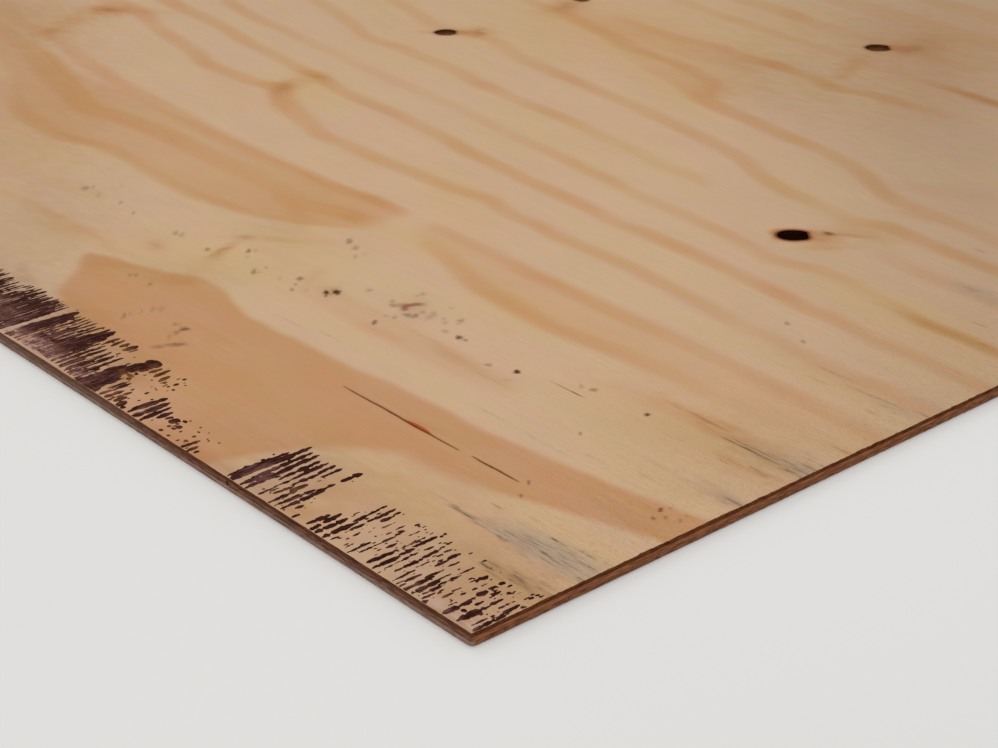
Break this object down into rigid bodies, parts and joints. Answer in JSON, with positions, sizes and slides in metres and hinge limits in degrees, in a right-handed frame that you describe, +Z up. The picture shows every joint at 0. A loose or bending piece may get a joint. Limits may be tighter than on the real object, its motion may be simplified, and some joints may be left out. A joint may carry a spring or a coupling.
{
  "type": "plywood sheet",
  "caption": "Full-size pine plywood sheet with crossed face, core and back veneers, open knotholes and sawn edges, for floors, walls, shelves and formwork.",
  "frame": {"origin": "middle of the sheet's underside, where it rests on a level floor", "axes": "+X along the sheet's length and the grain of its face, +Y across the sheet, +Z up out of the face"},
  "size_m": [2.44, 1.22, 0.009],
  "materials": {
    "face_veneer": "bare peeled pine veneer, tan with orange bands, unsanded and matt",
    "core_veneer": "bare pine veneer, darkened by the glue on its faces, sawn at the edges",
    "back_veneer": "bare peeled pine veneer, light tan, unsanded and matt"
  },
  "bodies": {
    "root": {"face_veneer": "face_veneer", "core_veneer": "core_veneer", "back_veneer": "back_veneer"}
  },
  "joints": []
}
